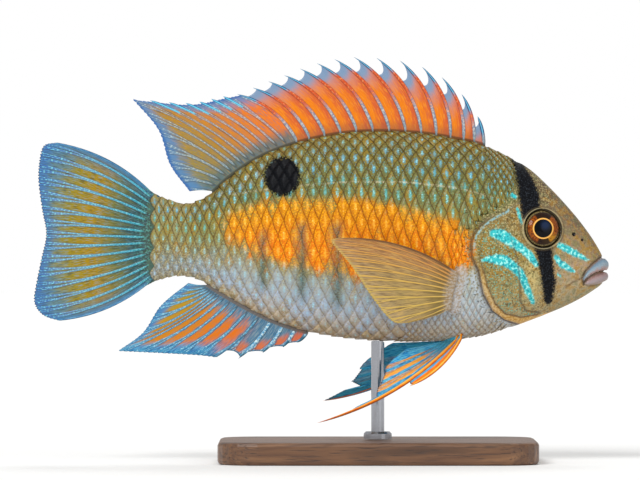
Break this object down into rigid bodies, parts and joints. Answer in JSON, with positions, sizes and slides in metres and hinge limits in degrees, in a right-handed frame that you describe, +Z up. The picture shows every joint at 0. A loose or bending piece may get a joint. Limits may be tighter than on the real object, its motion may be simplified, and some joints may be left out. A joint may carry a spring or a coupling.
{
  "type": "cupid cichlid",
  "caption": "Life-size cupid cichlid, a deep-bodied river fish with a spiny back fin, broad tail fin and trailing belly fins, held level by a rod on a flat base.",
  "frame": {"origin": "on the floor, below the middle of the fish's length and of its thickness", "axes": "+X towards the snout, +Y towards the fish's left side, +Z up"},
  "size_m": [0.1299, 0.046, 0.0917],
  "materials": {
    "skin": "scaled skin, wet",
    "belly": "smooth skin, wet",
    "cheek": "scaled skin, wet",
    "back_fin": "thin fin skin over rays",
    "blue_fin": "thin fin skin over rays",
    "clear_fin": "thin, clear fin skin over rays",
    "eye": "clear, wet",
    "wood": "satin varnish",
    "steel": "satin"
  },
  "bodies": {
    "root": {"head": "skin", "trunk": "skin", "tail_stalk": "skin", "lower_jaw": "belly", "gill_cover_left": "cheek", "gill_cover_right": "cheek", "eye_left": "eye", "eye_right": "eye", "dorsal_fin_spiny": "back_fin", "dorsal_fin_soft": "back_fin", "anal_fin": "blue_fin", "caudal_fin": "blue_fin", "pectoral_fin_left": "clear_fin", "pectoral_fin_right": "clear_fin", "pelvic_fin_left": "blue_fin", "pelvic_fin_right": "blue_fin", "stand_base": "wood", "stand_rod": "steel"}
  },
  "joints": []
}
